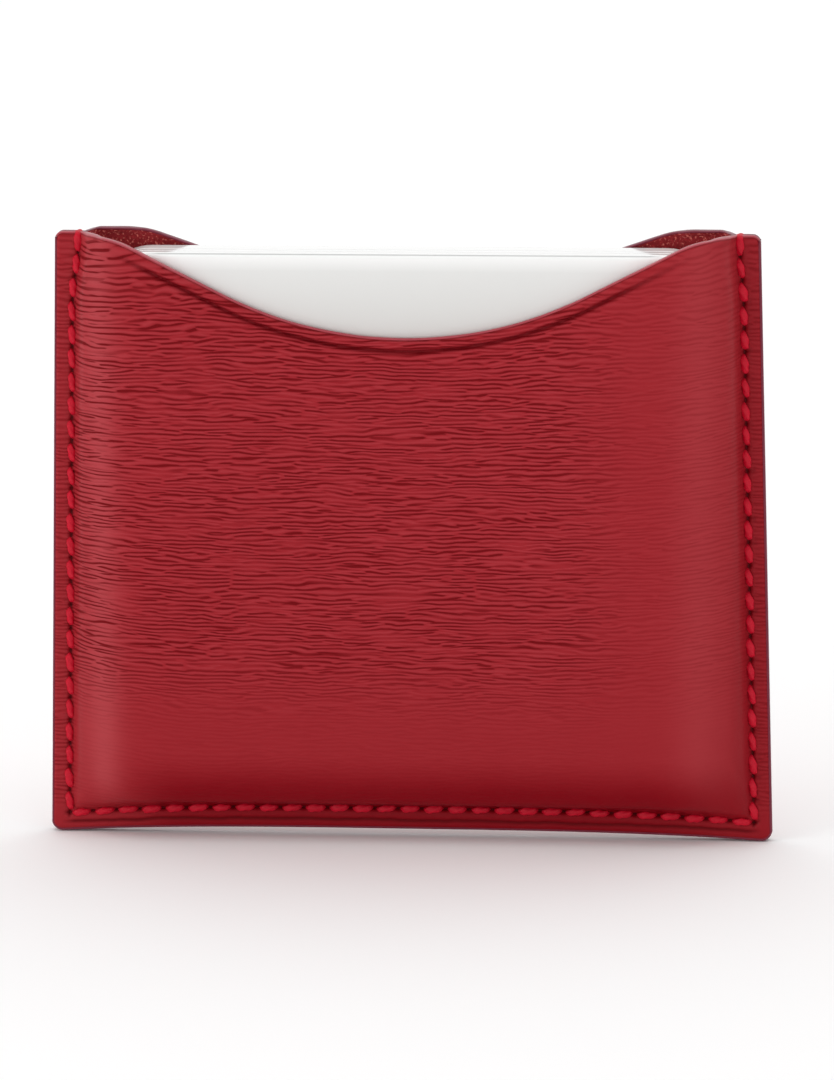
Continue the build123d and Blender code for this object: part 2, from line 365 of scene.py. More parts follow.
def panel_depth(x, z, below, mouth, seed):
    """Depth of a panel's grain side, outward from the seam plane."""
    inner = np.maximum(case_inset(x, z), 0)
    from_seam = seam_inset(x, z)
    depth = formed_depth(x, z, below, FRONT_CORNER_EASE if mouth is FRONT_MOUTH else BACK_CORNER_EASE)
    swell = np.clip(inner / 12, 0, 1)
    depth += swell * (0.10 * noise(x / 26, z / 22, seed + 7) + 0.05 * noise(x / 9, z / 9, seed + 8))
    # Rim: rounded lip, creased line under it, and a corner that stands off the case.
    lip = lip_reach(x, mouth)
    depth += lip * (LIP_RAISE * dent(below - 0.75, 0.5) - LIP_CREASE * dent(below - CREASE_BELOW, 0.32))
    depth -= 0.20 * np.clip(1 - below / 0.35, 0, 1) ** 2
    gape = dent(np.abs(x) - (mouth[0] - 8.5), 6.0) * np.exp(-np.clip(below, 0, 60) / 6.0)
    depth += GAPE * gape
    # Sewn edges: rounded arris, creased line along the bottom, and the channel that the thread lies in.
    edge = edge_inset(x, z)
    depth -= 0.18 * np.clip(1 - edge / 0.4, 0, 1) ** 2
    depth -= BOTTOM_CREASE_DEPTH * bottom_crease(x, z)
    depth -= SEAM_CHANNEL * dent(from_seam, 0.6)
    depth -= 0.06 * dent(from_seam - 0.95, 0.16)
    return depth


def bottom_crease(x, z):
    """1 along the line creased into the bottom edge."""
    drift = 0.10 * waver(x / 4, 77) + 0.05 * waver(x / 1.3, 78)
    inside = np.clip((HALF_BOTTOM - 1.2 - np.abs(x)) / 2, 0, 1)
    return inside * dent(z - bottom_line(x) - BOTTOM_CREASE + drift, 0.24)


def seam_strain(x, z):
    """Painted shade of fine lines strained into the hide just above the bottom seam, from 0 to 1; they are
    not raised in the mesh.
    """
    drift = 0.12 * waver(x / 6, 79)
    lines = dent(seam_inset(x, z) - 1.25 + drift, 0.13) + 0.6 * dent(seam_inset(x, z) - 1.75 - drift, 0.12)
    return lines * (1 - smooth_step(z, 7, 9)) * (1 - smooth_step(np.abs(x), 38, 46))


def hide_mask(x, z):
    """How strongly the hide is furrowed: most over the middle and left, least at the bottom and at the right,
    and evenly pressed into the side flanges."""
    formed = smooth_step(seam_inset(x, z), 0.0, 1.2)
    pocket = (0.09 + 0.91 * smooth_step(z, 16, 29)) * (1 - 0.76 * smooth_step(x, 20, 34))
    right_seam = smooth_step(half_width(z) - x, 1.2, 1.9) * smooth_step(x, 0, 9)
    flange = 0.5 * smooth_step(z, 3, 6) * (1 - 0.7 * right_seam)
    return formed * pocket + (1 - formed) * flange


def hide_lie(x, z, rim):
    """Height at which a furrow through each point would cross the middle. Furrows sag from seam to seam and
    follow the mouth for a little way under it."""
    left = 0.0026 - 0.0022 * smooth_step(z, 20, 72)
    sag = np.where(x < 0, left, 0.004) * np.clip(np.abs(x) - 26, 0, 21) ** 2
    follow = 0.35 * (rim - np.min(rim)) * np.exp(-np.clip(rim - z, 0, 99) / 9)
    return z - sag - follow


def painted_seam_shade(x, z):
    """Painted shade where the hide turns down into the bottom seam, fading towards the corners, and along a
    strip by the right seam.
    """
    band = 1 - smooth_step(z, 6.2, 13.6)
    ends = smooth_step(x, -45, -31) * (1 - 0.45 * smooth_step(x, 34, 46))
    flange = 0.75 + 0.25 * smooth_step(seam_inset(x, z), -0.6, 0.8)
    return np.maximum(band * ends * flange, 0.42 * smooth_step(x, 45.0, 47.6))


def painted_edge_highlight(x, z):
    """Painted highlight: the hide is painted paler where it turns over the case's side edges, more on the
    left than on the right.
    """
    reach = smooth_step(z, 3, 10)
    left = dent(x + 43.2, 2.6)
    right = 0.42 * dent(x - 41.6, 3.6)
    return reach * np.maximum(left, right)


def panel_relief(x, lie, mask, seed):
    """Fine ripples of the hide, along its normals."""
    ripples = noise(x / 5.0, lie / 0.62, seed + 2) + 0.5 * noise(x / 2.4, lie / 0.45, seed + 3)
    return 0.020 * mask * ripples + 0.008 * noise(x / 1.6, lie / 0.9, seed + 11)


def holes_along(start, end):
    """Stitch holes from start to end, as near the pitch as a whole number allows."""
    start, end = np.array(start, float), np.array(end, float)
    count = round(float(np.linalg.norm(end - start)) / PITCH)
    holes = [start + (end - start) * i / count for i in range(count + 1)]
    return [(x - math.copysign(float(seam_draw(x, z)), x), z) for x, z in holes]


def seam_rows():
    """(x, z) of the stitch holes of each seam, from the mouth down and from left to right."""
    top = TOP - LOOP_DROP
    side_top = half_width(top) - SEAM_INSET
    corner = half_width(BOTTOM_INSET) - SEAM_INSET
    corner_z = BOTTOM_INSET + SEAM_LIFT * float(drawn_up(corner))
    return {
        "left": holes_along((-side_top, top), (-corner, corner_z)),
        "bottom": [(x, BOTTOM_INSET + SEAM_LIFT * float(drawn_up(x))) for x, _ in
                   holes_along((-corner, corner_z), (corner, corner_z))],
        "right": holes_along((side_top, top), (corner, corner_z)),
    }


def hole_dents(x, z):
    """How far each point lies in an awl hole, from 0 to 1. Holes are slits along the seam."""
    deep = np.zeros_like(x)
    for name, row in seam_rows().items():
        long, wide = (0.50, 0.24) if name == "bottom" else (0.24, 0.50)
        for hx, hz in row:
            near = (np.abs(x - hx) < 1.6) & (np.abs(z - hz) < 1.6)
            away = np.hypot((x[near] - hx) / long, (z[near] - hz) / wide)
            deep[near] = np.maximum(deep[near], dent(away, 1.0))
    return deep


def pulls(x, z):
    """Short creases that the thread has pulled across the right flange, from 0 to 1."""
    random = np.random.default_rng(41)
    deep = np.zeros_like(x)
    for hx, hz in seam_rows()["right"][1:]:
        reach, rise, force = random.uniform(0.6, 1.5), random.uniform(-0.1, 0.5), random.uniform(0, 1)
        near = (np.abs(x - hx) < 2.2) & (np.abs(z - hz) < 1.6)
        out = x[near] - hx
        line = dent(z[near] - hz - rise * out, 0.21)
        line *= smooth_step(reach - out, 0, 0.5) * smooth_step(out, 0, 0.2)
        deep[near] = np.maximum(deep[near], force * line)
    return deep


def columns():
    """Positions across a panel from -1 to 1, closest where it turns over the case's edge and at the seam."""
    reach = HALF_BOTTOM
    stops = [0, 30, 40.5, reach - 3.2, reach - 1.5, reach - 0.4, reach]
    right = steps(stops, [0.85, 0.55, 0.32, 0.17, 0.22, 0.13])
    return np.concatenate([-right[:0:-1], right]) / reach


def rows():
    """Positions up a panel from 0 to 1, close together at the bottom seam and at the rim."""
    low = steps([0, LOW_REACH], [LOW_REACH / LOW_ROWS])
    rest = steps([LOW_REACH, TOP - 4.0, TOP], [0.30, 0.115])[1:]
    return np.concatenate([low, rest]) / TOP


def normals(points):
    """Unit normals of a grid of points, on the side that faces away from the seam plane."""
    across, up = np.gradient(points, axis=0), np.gradient(points, axis=1)
    return unit(np.cross(up, across))


def skin(s, v, mouth, seed, relief):
    """Grain side of a panel over a grid: its points, and the values that its material reads."""
    s, v = np.meshgrid(s, v, indexing="ij")
    x_low, x_top = s * HALF_BOTTOM, s * HALF_TOP
    low, rim = bottom_line(x_low), mouth_line(x_top, mouth)
    z = low + (rim - low) * v
    x = s * half_width(z)
    below = below_rim(x, z, rim)
    mask = hide_mask(x, z)
    lie = hide_lie(x, z, rim)
    holes, pulled = hole_dents(x, z), pulls(x, z)
    points = np.stack([x, panel_depth(x, z, below, mouth, seed), z], axis=-1)
    if relief:
        points[..., 1] -= HOLE_DEPTH * holes + PULL_DEPTH * pulled
        points = points + normals(points) * panel_relief(x, lie, mask, seed)[..., None]
    # Colour masks. crease is painted shade: in the crease under the rim, a shadow line along the rim's front
    # edge, in the pulled creases, along the bottom crease and in the strain lines above the bottom seam.
    lip = 0.88 * lip_reach(x, mouth) * dent(below - CREASE_BELOW, 0.34)
    rim_shadow_line = 0.6 * (1 - smooth_step(below, 0.05, 0.28))
    creases = [lip, rim_shadow_line, 0.8 * pulled, 0.95 * bottom_crease(x, z), 0.4 * seam_strain(x, z)]
    # deep is painted shade above the bottom seam and along the right seam.
    # hole also gives painted shade in the awl holes, besides sinking them.
    return points, {"grain": mask, "lie": lie, "hole": holes, "crease": np.maximum.reduce(creases),
                    "deep": painted_seam_shade(x, z), "painted_edge_highlight": painted_edge_highlight(x, z)}


def flesh_points(grain):
    """Inner side of a panel, one leather thickness in, kept clear of the case and of the seam plane."""
    steep = np.maximum(normals(grain)[..., 1], 0.45)
    x, depth, z = grain[..., 0], grain[..., 1], grain[..., 2]
    inner = depth - LEATHER / steep
    inset = case_inset(x, z)
    round_in = np.clip(CASE_EDGE - inset, 0, CASE_EDGE)
    case_skin = CASE_FRONT - CASE_EDGE + np.sqrt(CASE_EDGE ** 2 - round_in ** 2) + CASE_GAP
    inner = np.where(inset > -0.2, np.maximum(inner, case_skin), inner)
    inner = np.clip(inner, 0.02, depth - 0.45)
    inner = np.where(seam_inset(x, z) < 0.3, 0.02, inner)
    return np.stack([x, inner, z], axis=-1)


# ---------------------------------------------------------------- mesh building

def make_object(name, points, faces, materials, face_materials=None, smooth=True):
    """Mesh object from millimetre points. Faces are lists of vertex numbers."""
    mesh = bpy.data.meshes.new(name)
    mesh.from_pydata((np.asarray(points) * MM).tolist(), [], faces)
    for material in materials:
        mesh.materials.append(material)
    if face_materials is not None:
        mesh.polygons.foreach_set("material_index", face_materials)
    mesh.polygons.foreach_set("use_smooth", [smooth] * len(mesh.polygons))
    mesh.validate()
    mesh.update()
    obj = bpy.data.objects.new(name, mesh)
    bpy.context.scene.collection.objects.link(obj)
    return obj


def add_value(obj, name, values):
    """One number per vertex, read by the materials."""
    layer = obj.data.attributes.new(name, "FLOAT", "POINT")
    layer.data.foreach_set("value", np.asarray(values, np.float32))


def bridge(fine, coarse, picks):
    """Faces between two rows of vertices. picks says which vertex of the fine row meets each coarse one."""
    faces = []
    for j, (a, b) in enumerate(zip(picks, picks[1:])):
        low = [int(n) for n in fine[a:b + 1]]
        faces.append(low + [int(coarse[j + 1]), int(coarse[j])])
    return faces


def grid_faces(index):
    """Quads over a 2-D array of vertex numbers."""
    a, b, c, d = index[:-1, :-1], index[1:, :-1], index[1:, 1:], index[:-1, 1:]
    return np.stack([a, b, c, d], axis=-1).reshape(-1, 4).tolist()


def flesh_picks(last):
    """Rows of the grain side that the flesh side keeps."""
    low = list(range(0, LOW_ROWS - LOW_FLESH_STEP // 2, LOW_FLESH_STEP))
    return low + list(range(LOW_ROWS, last - FLESH_STEP // 2, FLESH_STEP)) + [last]


def cut(fine, coarse, picks):
    """A panel's three grids: fine grain side by the bottom seam, plain grain side above it, flesh side."""
    return fine[:, :LOW_ROWS + 1], fine[::REFINE, LOW_ROWS + 1:], coarse[:, picks]


def panel(name, side, mouth, seed, leather, suede):
    """One closed sleeve panel: grain side, flesh side and cut edges. side is -1 for the front, 1 for the
    back. Returns the grain and flesh points along its rim."""
    s, v = columns(), rows()
    fine_s = np.interp(np.arange((len(s) - 1) * REFINE + 1) / REFINE, np.arange(len(s)), s)
    whole, values = skin(fine_s, v, mouth, seed, True)
    plain, plain_values = skin(s, v, mouth, seed, False)
    picks = flesh_picks(len(v) - 1)
    parts = cut(whole, flesh_points(plain), picks)
    starts = np.cumsum([0] + [part.shape[0] * part.shape[1] for part in parts])
    low_i, main_i, flesh_i = (np.arange(starts[n], starts[n + 1]).reshape(part.shape[:2])
                              for n, part in enumerate(parts))
    every = list(range(0, len(fine_s), REFINE))
    all_columns = list(range(len(s)))
    grain = grid_faces(low_i) + bridge(low_i[:, -1], main_i[:, 0], every) + grid_faces(main_i)
    inner = [face[::-1] for face in grid_faces(flesh_i) + bridge(low_i[:, 0], flesh_i[:, 0], every)]
    inner += bridge(main_i[:, -1], flesh_i[:, -1], all_columns)
    for column, turn in ((0, 1), (-1, -1)):
        edge = np.concatenate([low_i[column], main_i[column]])
        inner += [face[::turn] for face in bridge(edge, flesh_i[column], picks)]
    faces = grain + inner
    if side > 0:
        faces = [face[::-1] for face in faces]
    points = np.concatenate([part.reshape(-1, 3) for part in parts]) * (1, side, 1)
    obj = make_object(name, points, faces, [leather, suede], [0] * len(grain) + [1] * len(inner))
    for key, value in values.items():
        add_value(obj, key, np.concatenate([part.ravel() for part in cut(value, plain_values[key], picks)]))
    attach(obj, "sleeve")
    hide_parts(name)
    return parts[1][:, -1] * (1, side, 1), parts[2][:, -1] * (1, side, 1)


# ---------------------------------------------------------------- painted edges

def loft(rings):
    """Closed rings of points, joined in order and capped with one face at each end: points and faces."""
    count, around = rings.shape[:2]
    index = np.arange(count * around).reshape(count, around)
    wrapped = np.concatenate([index, index[:, :1]], axis=1)
    faces = grid_faces(wrapped)
    faces += [index[0][::-1].tolist(), index[-1].tolist()]
    return rings.reshape(-1, 3), faces


def mouth_edge(name, side, outer, inner, paint):
    """Painted coat lapped over the cut edge of a mouth."""
    half = (inner - outer) / 2
    along = unit(np.gradient((outer + inner) / 2, axis=0))
    up = np.cross(unit(half), along) * side
    swell = 1 + 0.10 * waver(outer[:, 0] / 3.1, 31)[:, None]
    rings = [(outer + inner) / 2 + half * a + up * (b * swell) for a, b in MOUTH_SECTION]
    points, faces = loft(np.stack(rings, axis=1))
    obj = make_object(name, points, faces, [paint])
    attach(obj, "sleeve")
    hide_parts(name)


def sewn_outline():
    """Points down the left edge, round the corners, along the bottom and up the right edge."""
    side_top = TOP - MOUTH_CORNER_DROP
    side_z = steps([side_top, side_top - 0.6, 3.5, BEAD + CORNER], [0.2, 0.5, 0.25])
    turn = np.linspace(0, math.pi / 2, 10)[1:]
    flat = steps([-(HALF_BOTTOM - CORNER), 0], [0.5])[1:]
    x = np.concatenate([-half_width(side_z), -(HALF_BOTTOM - CORNER) - CORNER * np.cos(turn), flat])
    z = np.concatenate([side_z, bottom_line(x[len(side_z):])])
    left = np.stack([x, z * 0, z], axis=-1)
    return np.concatenate([left, (left * (-1, 1, 1))[-2::-1]])


def side_edge(paint):
    """Burnished, painted bead over both panels' sewn edges."""
    path = sewn_outline()
    along = unit(np.gradient(path, axis=0))
    outward = np.cross(along, (0, 1, 0))
    number = np.arange(len(path))
    from_end = np.minimum(number, number[::-1])[:, None]
    swell = 1 + 0.07 * waver(number / 7.0, 32)[:, None]
    swell *= np.clip(0.3 + 0.25 * from_end, 0, 1)
    rings = [path + outward * (a if a < 0 else a * swell) + np.array((0, b, 0)) for a, b in SIDE_SECTION]
    points, faces = loft(np.stack(rings, axis=1))
    obj = make_object("side_edge_coat", points, faces, [paint])
    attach(obj, "sleeve")
    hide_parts("side_edge_coat")


# ---------------------------------------------------------------- thread

def thread_tube(path, across):
    """Rings of a twisted thread of half width 1 along a path. across is its flat direction."""
    along = unit(np.gradient(path, axis=0))
    lift = unit(np.cross(across, along))
    run = np.concatenate([[0], np.cumsum(np.linalg.norm(np.diff(path, axis=0), axis=1))])
    around = np.linspace(0, 2 * math.pi, THREAD_AROUND, endpoint=False)
    plies = 1 + 0.11 * np.cos(PLIES * (around[None, :] - PLY_TWIST * run[:, None]))
    wide = (np.cos(around) * plies)[..., None] * across
    tall = (np.sin(around) * plies)[..., None] * lift[:, None, :]
    return path[:, None, :] + wide + tall


def stitch_rings(here, there, side, slant, random, fat):
    """One stitch on one face, from its hole to the next: fullest in the middle and pinched into its holes."""
    here, there = np.array((here[0], 0, here[1])), np.array((there[0], 0, there[1]))
    middle, along = (here + there) / 2, unit(there - here)
    across = np.cross(along, (0, 1, 0))
    reach = STITCH_REACH * (1 + 0.05 * random.uniform(-1, 1))
    u = np.sin(np.linspace(-1, 1, 25) * math.pi / 2) * reach
    proud = 0.17 + 0.04 * random.uniform(-1, 1)
    w = LEATHER - 0.14 + proud - (proud + 0.62) * (np.abs(u) / reach) ** 5
    lean = -(slant + 0.04 * random.uniform(-1, 1)) * u * side + 0.05 * random.uniform(-1, 1)
    path = middle + u[:, None] * along + lean[:, None] * across
    path[:, 1] = side * w
    taper = 1 - 0.62 * (np.abs(u) / reach) ** 2.4
    rings = thread_tube(path, across)
    width = THREAD_HALF_WIDTH * fat * (1 + 0.10 * random.uniform(-1, 1))
    return squeeze(rings, path, across, taper, (width, THREAD_HALF_HEIGHT * fat))


def squeeze(rings, path, across, taper, scale):
    """Unit rings brought to a thread's width and height, thinner where it goes down its holes."""
    away = rings - path[:, None, :]
    wide = (away @ across)[..., None] * across
    return path[:, None, :] + (wide * scale[0] + (away - wide) * scale[1]) * taper[:, None, None]


def loop_rings(hole):
    """Thread from the first hole over the mouth edge to the same hole on the other face."""
    x, z = hole
    out, top = LEATHER + 0.02, TOP + COAT - 0.20
    corners = [(-0.4, z + 0.1), (-out + 0.1, z + 0.45), (-out, top - 0.7), (-out + 0.45, top),
               (out - 0.45, top), (out, top - 0.7), (out - 0.1, z + 0.45), (0.4, z + 0.1)]
    line = np.array([(x, y, height) for y, height in corners])
    # Its corners are cut three times over, which rounds them.
    for _ in range(3):
        quarter, three = line[:-1] * 0.75 + line[1:] * 0.25, line[:-1] * 0.25 + line[1:] * 0.75
        line = np.concatenate([line[:1], np.stack([quarter, three], axis=1).reshape(-1, 3), line[-1:]])
    across = np.array((1.0, 0, 0))
    rings = thread_tube(line, across)
    pinch = 1 - 0.45 * dent(line[:, 2] - z, 0.7)
    return squeeze(rings, line, across, pinch, (THREAD_HALF_WIDTH, THREAD_HALF_HEIGHT))


def seam_thread(name, row, looped, slant, fat_stitch, thread):
    """Every stitch of one seam on both faces, with the loop at its mouth end if it has one."""
    random = np.random.default_rng(len(name) * 7 + len(row))
    pieces = [loop_rings(row[0])] if looped else []
    for side in (-1, 1):
        for n, (here, there) in enumerate(zip(row, row[1:])):
            fat = FAT_STITCH if n == fat_stitch and side < 0 else 1.0
            pieces.append(stitch_rings(here, there, side, slant, random, fat))
    points, faces, start = [], [], 0
    for rings in pieces:
        ring_points, ring_faces = loft(rings)
        points.append(ring_points)
        faces += [[n + start for n in face] for face in ring_faces]
        start += len(ring_points)
    obj = make_object(name, np.concatenate(points), faces, [thread])
    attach(obj, "sleeve")
    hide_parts(name)


# ---------------------------------------------------------------- materials

def material(name):
    """An empty node material with its shader: (material, tree, shader)."""
    made = bpy.data.materials.new(name)
    made.use_nodes = True
    tree = made.node_tree
    shader = next(n for n in tree.nodes if n.type == "BSDF_PRINCIPLED")
    return made, tree, shader


def feed(tree, node, inputs):
    """Sets a node's inputs by name or number, from values or from other nodes' sockets."""
    for key, value in inputs.items():
        socket = node.inputs[key]
        if isinstance(value, bpy.types.NodeSocket):
            tree.links.new(value, socket)
        else:
            socket.default_value = value


def add(tree, kind, inputs=None, out=0, **settings):
    """A node with its settings and inputs; returns the output socket."""
    node = tree.nodes.new(kind)
    for key, value in settings.items():
        setattr(node, key, value)
    feed(tree, node, inputs or {})
    return node.outputs[out]


def calc(tree, operation, *values, clamp=False):
    """A Math node."""
    return add(tree, "ShaderNodeMath", dict(enumerate(values)), operation=operation, use_clamp=clamp)


def millimetres(tree):
    """Object coordinates in millimetres."""
    place = add(tree, "ShaderNodeTexCoord", out="Object")
    return add(tree, "ShaderNodeVectorMath", {0: place, 1: (1000, 1000, 1000)}, operation="MULTIPLY")


def clouds(tree, vector, scale=1.0, detail=2.0, roughness=0.5):
    """Noise value over a vector."""
    inputs = {"Vector": vector, "Scale": scale, "Detail": detail, "Roughness": roughness}
    return add(tree, "ShaderNodeTexNoise", inputs, out="Fac")


def blend_colours(tree, factor, a, b):
    """Colour a at factor 0, colour b at factor 1."""
    return add(tree, "ShaderNodeMix", {0: factor, 6: a, 7: b}, out=2, data_type="RGBA")


def split(tree, vector):
    """X, Y and Z of a vector."""
    node = tree.nodes.new("ShaderNodeSeparateXYZ")
    feed(tree, node, {0: vector})
    return node.outputs[0], node.outputs[1], node.outputs[2]


def ramp(tree, value, start, end, low=0.0, high=1.0):
    """low up to start, high from end on, and straight between."""
    return add(tree, "ShaderNodeMapRange", {0: value, 1: start, 2: end, 3: low, 4: high})


def attribute(tree, name):
    """One number per vertex, laid on by add_value."""
    return add(tree, "ShaderNodeAttribute", attribute_name=name, out="Fac")


def hide_clouds(tree, parts, scale, detail=0.0):
    """Noise over (across, face, height along the hide), each stretched by its scale."""
    inputs = {axis: calc(tree, "MULTIPLY", part, n) for axis, part, n in zip("XYZ", parts, scale)}
    return clouds(tree, add(tree, "ShaderNodeCombineXYZ", inputs), detail=detail)


def furrow_wave(tree, parts, offset):
    """Waves across the hide, 1 in a furrow and -1 on the ridge beside it, that waver and crowd unevenly."""
    across, face, lie = parts
    moved = (across, calc(tree, "ADD", face, offset), lie)
    slow = calc(tree, "MULTIPLY", hide_clouds(tree, moved, (0.06, 1.0, 0.22), 1.0), 3.4)
    quick = calc(tree, "MULTIPLY", hide_clouds(tree, moved, (0.31, 2.3, 0.80)), 0.92)
    turns = calc(tree, "ADD", calc(tree, "DIVIDE", lie, FURROW_PITCH), calc(tree, "ADD", slow, quick))
    return calc(tree, "COSINE", calc(tree, "MULTIPLY", turns, 2 * math.pi))


def furrow_waves(tree, parts):
    """Two sets of waves that give way to each other every few millimetres, so furrows end and overlap."""
    share = hide_clouds(tree, parts, (0.29, 5.1, 1.2))
    first = calc(tree, "MULTIPLY", calc(tree, "SUBTRACT", share, 0.45), 7.0, clamp=True)
    second = calc(tree, "MULTIPLY", calc(tree, "SUBTRACT", 0.57, share), 7.0, clamp=True)
    one = calc(tree, "MULTIPLY", furrow_wave(tree, parts, 0.0), first)
    two = calc(tree, "MULTIPLY", furrow_wave(tree, parts, 9.0), second)
    return calc(tree, "ADD", one, two)


def leather_material():
    """Dyed calf: fine furrows across, soft mottling and a satin finish, with painted shade in its furrows,
    creases, awl holes and above the bottom seam, and painted highlights on its ridges and over the case's
    side edges.
    """
    made, tree, shader = material("red_calf_grain")
    plain = millimetres(tree)
    across, outward, _ = split(tree, plain)
    parts = (across, calc(tree, "SIGN", outward), attribute(tree, "lie"))
    waves = furrow_waves(tree, parts)
    grain = attribute(tree, "grain")
    patches = hide_clouds(tree, parts, (0.16, 3.3, 0.9))
    force = calc(tree, "MULTIPLY", calc(tree, "SUBTRACT", patches, 0.14), 2.7, clamp=True)
    line = calc(tree, "MULTIPLY", calc(tree, "SUBTRACT", waves, 0.14), 1.7, clamp=True)
    line = calc(tree, "MULTIPLY", calc(tree, "MULTIPLY", line, force), grain)
    ridge = calc(tree, "MULTIPLY", calc(tree, "MULTIPLY", waves, -0.9, clamp=True),
                 calc(tree, "POWER", grain, 0.7))
    pores = add(tree, "ShaderNodeTexVoronoi", {"Vector": plain, "Scale": 2.6}, out="Distance")
    height = calc(tree, "SUBTRACT", calc(tree, "MULTIPLY", ridge, 0.5), line)
    height = calc(tree, "ADD", height, calc(tree, "MULTIPLY", pores, 0.10))
    bump = add(tree, "ShaderNodeBump", {"Strength": 0.8, "Distance": 0.00008, "Height": height})
    mottle = calc(tree, "MULTIPLY", clouds(tree, plain, 0.07, 4.0, 0.6), 0.35)
    deep = calc(tree, "ADD", attribute(tree, "deep"), calc(tree, "SUBTRACT", mottle, 0.14), clamp=True)
    # Painted highlight where the hide turns over the case's side edges.
    colour = blend_colours(tree, attribute(tree, "painted_edge_highlight"), LEATHER_RED, LEATHER_EDGE_HIGHLIGHT)
    # Painted highlight on the ridges between the furrows.
    colour = blend_colours(tree, calc(tree, "MULTIPLY", ridge, 0.55), colour, LEATHER_RIDGE_HIGHLIGHT)
    # Painted shade above the bottom seam and along the right seam, with random mottling added.
    colour = blend_colours(tree, deep, colour, LEATHER_SHADE_AND_MOTTLE)
    # Painted shade in the furrows.
    colour = blend_colours(tree, line, colour, LEATHER_FURROW_SHADE)
    # Painted shade in the creases and along the rim's front edge.
    colour = blend_colours(tree, attribute(tree, "crease"), colour, LEATHER_CREASE_SHADE)
    # Painted shade in the awl holes.
    colour = blend_colours(tree, attribute(tree, "hole"), colour, LEATHER_HOLE_SHADE)
    rough = calc(tree, "ADD", 0.34, calc(tree, "MULTIPLY", line, 0.2))
    feed(tree, shader, {"Base Color": colour, "Roughness": rough, "Normal": bump, "Specular IOR Level": 0.08})
    return made


def suede_material():
    """Flesh side of the hide: matt, napped, dark red with lighter fibres."""
    made, tree, shader = material("red_flesh_side")
    plain = millimetres(tree)
    nap = clouds(tree, plain, 2.3, 4.0, 0.7)
    drift = clouds(tree, plain, 0.25, 2.0)
    fibres = clouds(tree, plain, 2.7, 1.0)
    specks = calc(tree, "MULTIPLY", calc(tree, "SUBTRACT", fibres, 0.57), 6.0, clamp=True)
    mix = calc(tree, "ADD", calc(tree, "MULTIPLY", nap, 1.5), calc(tree, "MULTIPLY", drift, 0.5))
    colour = blend_colours(tree, calc(tree, "SUBTRACT", mix, 0.6, clamp=True), SUEDE_DARK, SUEDE_LIGHT)
    colour = blend_colours(tree, specks, colour, SUEDE_SPECK)
    bump = add(tree, "ShaderNodeBump", {"Strength": 0.9, "Distance": 0.00015, "Height": nap})
    feed(tree, shader, {"Base Color": colour, "Roughness": 0.85, "Normal": bump, "Specular IOR Level": 0.15,
                        "Sheen Weight": 0.25, "Sheen Roughness": 0.5, "Sheen Tint": (0.9, 0.45, 0.45, 1)})
    return made


def paint_material(name, dark, light):
    """Burnished edge paint: glossy, very slightly uneven."""
    made, tree, shader = material(name)
    plain = millimetres(tree)
    colour = blend_colours(tree, clouds(tree, plain, 0.8, 3.0), dark, light)
    bump = add(tree, "ShaderNodeBump", {"Strength": 0.5, "Distance": 0.00008,
                                        "Height": clouds(tree, plain, 1.3, 3.0)})
    feed(tree, shader, {"Base Color": colour, "Roughness": 0.3, "Normal": bump, "Specular IOR Level": 0.22,
                        "Coat Weight": 0.12, "Coat Roughness": 0.1})
    return made


def thread_material():
    """Waxed linen thread: bright red, with fine fibres along it."""
    made, tree, shader = material("red_waxed_thread")
    plain = millimetres(tree)
    fibre = clouds(tree, plain, 7.0, 3.0, 0.7)
    drift = clouds(tree, plain, 0.5, 2.0)
    mix = calc(tree, "ADD", calc(tree, "MULTIPLY", fibre, 0.8), calc(tree, "MULTIPLY", drift, 0.4))
    colour = blend_colours(tree, calc(tree, "SUBTRACT", mix, 0.25, clamp=True), THREAD_DARK, THREAD_LIGHT)
    bump = add(tree, "ShaderNodeBump", {"Strength": 0.6, "Distance": 0.00006, "Height": fibre})
    feed(tree, shader, {"Base Color": colour, "Roughness": 0.45, "Normal": bump, "Specular IOR Level": 0.2})
    return made


def case_material():
    """High-gloss white moulded plastic, with painted shade low on its front, painted light on its top and a
    painted shadow line along the front of its top.
    """
    made, tree, shader = material("white_gloss_case")
    plain = millimetres(tree)
    across, _, height = split(tree, plain)
    # Painted shade low on the front, painted light higher up and on the top face.
    colour = blend_colours(tree, ramp(tree, height, 74.0, 82.5), CASE_LOWER_SHADED, CASE_UPPER_LIT)
    colour = blend_colours(tree, ramp(tree, height, 82.0, 84.2), colour, CASE_TOP_LIT)
    # Painted shadow line along the front of the case's top, fading out towards its ends.
    from_line = calc(tree, "ABSOLUTE", calc(tree, "SUBTRACT", height, CASE_LINE_HEIGHT))
    line = calc(tree, "SUBTRACT", 1.0, calc(tree, "DIVIDE", from_line, CASE_LINE_REACH), clamp=True)
    from_middle = calc(tree, "ABSOLUTE", across)
    line = calc(tree, "MULTIPLY", line, ramp(tree, from_middle, 34.5, 36.5, 0.8, 0.0))
    colour = blend_colours(tree, line, colour, CASE_LINE_SHADOW)
    rough = calc(tree, "ADD", 0.07, calc(tree, "MULTIPLY", clouds(tree, plain, 0.4, 4.0), 0.06))
    bump = add(tree, "ShaderNodeBump", {"Strength": 0.15, "Distance": 0.00005,
                                        "Height": clouds(tree, plain, 0.12, 2.0)})
    feed(tree, shader, {"Base Color": colour, "Roughness": rough, "Normal": bump, "Specular IOR Level": 0.5,
                        "Coat Weight": 0.3, "Coat Roughness": 0.03})
    return made


def floor_material():
    """Plain pale paper floor."""
    made, tree, shader = material("pale_floor")
    drift = clouds(tree, millimetres(tree), 0.004, 2.0)
    colour = blend_colours(tree, drift, FLOOR_DARK, FLOOR_LIGHT)
    feed(tree, shader, {"Base Color": colour, "Roughness": 0.9, "Specular IOR Level": 0.1})
    return made


# ---------------------------------------------------------------- stage

